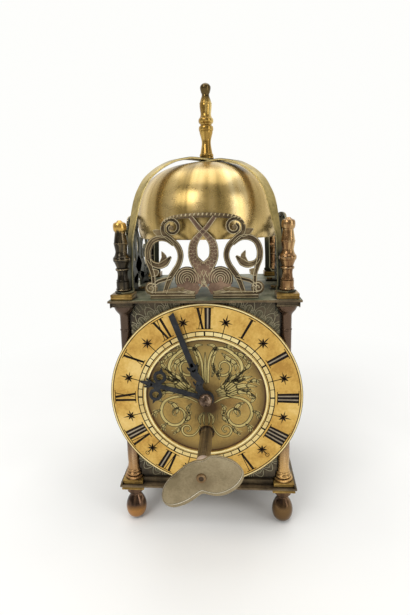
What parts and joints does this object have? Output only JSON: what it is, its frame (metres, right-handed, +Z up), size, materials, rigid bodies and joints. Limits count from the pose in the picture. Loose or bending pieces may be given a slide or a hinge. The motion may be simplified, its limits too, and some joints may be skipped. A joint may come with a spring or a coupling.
{
  "type": "lantern clock",
  "caption": "Square table clock with a round dial on the front, a bell under crossed straps, pierced frets, corner finials, a hinged back door and a winding key.",
  "frame": {"origin": "on the floor under the middle of the whole clock, key and door knob included", "axes": "+X to the right seen from the dial, +Y from the dial to the back door, +Z up"},
  "size_m": [0.102, 0.1376, 0.2423],
  "materials": {
    "dark_iron": "dark olive-brown patina on brass sheet",
    "patina_plate": "greenish grey patina, dull",
    "copper_brown": "dark copper-brown patina, satin",
    "gold": "gilt brass, satin",
    "gold_worn": "worn gilt brass",
    "bell_metal": "olive-gold bell metal, polished and dulled",
    "blued_steel": "blued steel, near black",
    "brass": "bright movement brass",
    "steel": "turned steel",
    "spring_steel": "hardened spring steel",
    "key_nickel": "worn nickel, khaki-grey"
  },
  "bodies": {
    "case": {"bottom_plate": "dark_iron", "top_plate": "patina_plate", "plinth_mouldings": "dark_iron", "cornice_mouldings": "dark_iron", "columns": "copper_brown", "feet": "copper_brown", "finial_bases": "gold", "corner_finials": "copper_brown", "front_plate": "dark_iron", "left_panel": "dark_iron", "right_panel": "dark_iron", "front_fret": "gold_worn", "left_fret": "gold_worn", "right_fret": "gold_worn", "fret_screws": "gold_worn", "bell": "bell_metal", "upper_strap": "patina_plate", "lower_strap": "patina_plate", "top_finial": "gold_worn", "bell_nut": "gold_worn", "chapter_ring": "gold", "dial_centre": "gold", "dial_feet": "gold", "dial_nuts": "gold", "movement_front_plate": "brass", "movement_back_plate": "brass", "movement_pillars": "brass", "movement_posts": "brass", "movement_nuts": "steel", "click_screw": "steel", "click_spring": "spring_steel", "minute_wheel_stud": "steel", "hairspring": "spring_steel", "hairspring_stud": "steel"},
    "back_door": {"back_door": "dark_iron", "door_pins": "steel", "door_knob": "gold"},
    "centre_arbor": {"centre_arbor": "steel", "centre_wheel": "brass", "cannon_pinion": "steel", "minute_hand": "blued_steel", "hand_nut": "copper_brown"},
    "minute_wheel": {"minute_wheel": "brass"},
    "hour_wheel": {"hour_wheel": "brass", "hour_hand": "blued_steel"},
    "barrel": {"barrel": "brass", "barrel_cap": "brass", "mainspring": "spring_steel"},
    "winding_arbor": {"barrel_arbor": "steel", "ratchet_wheel": "steel"},
    "key": {"key_pipe": "copper_brown", "key_wing": "key_nickel", "key_rivet": "gold_worn"},
    "click": {"click": "steel"},
    "third_wheel": {"third_wheel": "brass"},
    "fourth_wheel": {"fourth_wheel": "brass"},
    "escape_wheel": {"escape_wheel": "brass"},
    "lever": {"lever": "steel"},
    "balance": {"balance_wheel": "brass", "balance_staff": "steel"}
  },
  "joints": [
    {"name": "minute_hand", "type": "hinge", "parent": "case", "child": "centre_arbor", "pos_m": [0, -0.00495, 0.0762], "axis": [0, 1, 0], "range_deg": [-140, 179]},
    {"name": "minute_wheel", "type": "hinge", "parent": "case", "child": "minute_wheel", "pos_m": [0.0063, -0.021, 0.08711], "axis": [0, 1, 0], "continuous": true},
    {"name": "hour_hand", "type": "hinge", "parent": "case", "child": "hour_wheel", "pos_m": [0, -0.022, 0.0762], "axis": [0, 1, 0], "continuous": true},
    {"name": "barrel", "type": "hinge", "parent": "case", "child": "barrel", "pos_m": [0, -0.00495, 0.0552], "axis": [0, 1, 0], "continuous": true},
    {"name": "third_wheel", "type": "hinge", "parent": "case", "child": "third_wheel", "pos_m": [0.00926, -0.00495, 0.08723], "axis": [0, 1, 0], "continuous": true},
    {"name": "fourth_wheel", "type": "hinge", "parent": "case", "child": "fourth_wheel", "pos_m": [-0.00105, -0.00495, 0.09318], "axis": [0, 1, 0], "continuous": true},
    {"name": "escape_wheel", "type": "hinge", "parent": "case", "child": "escape_wheel", "pos_m": [-0.01145, -0.00495, 0.09502], "axis": [0, 1, 0], "continuous": true},
    {"name": "winding", "type": "hinge", "parent": "case", "child": "winding_arbor", "pos_m": [0, -0.00495, 0.0552], "axis": [0, 1, 0], "continuous": true},
    {"name": "click", "type": "hinge", "parent": "case", "child": "click", "pos_m": [0.00902, -0.0197, 0.05848], "axis": [0, 1, 0], "range_deg": [0, 14]},
    {"name": "lever", "type": "hinge", "parent": "case", "child": "lever", "pos_m": [-0.01633, -0.00495, 0.08919], "axis": [0, 1, 0], "range_deg": [-2, 2]},
    {"name": "balance", "type": "hinge", "parent": "case", "child": "balance", "pos_m": [-0.02251, -0.00495, 0.08184], "axis": [0, 1, 0], "range_deg": [-150, 150], "stiffness_Nm_per_rad": 0.000002},
    {"name": "key", "type": "slide", "parent": "winding_arbor", "child": "key", "axis": [0, -1, 0], "range_m": [0, 0.03]},
    {"name": "back_door", "type": "hinge", "parent": "case", "child": "back_door", "pos_m": [-0.0347, 0.0612, 0.076], "axis": [0, 0, 1], "range_deg": [0, 100]}
  ],
  "couplings": [
    {"joint": "minute_wheel", "follows": "minute_hand", "ratio": -0.33333},
    {"joint": "hour_hand", "follows": "minute_hand", "ratio": 0.083333},
    {"joint": "barrel", "follows": "minute_hand", "ratio": -0.14286},
    {"joint": "third_wheel", "follows": "minute_hand", "ratio": -8},
    {"joint": "fourth_wheel", "follows": "minute_hand", "ratio": 60},
    {"joint": "escape_wheel", "follows": "minute_hand", "ratio": -600}
  ]
}
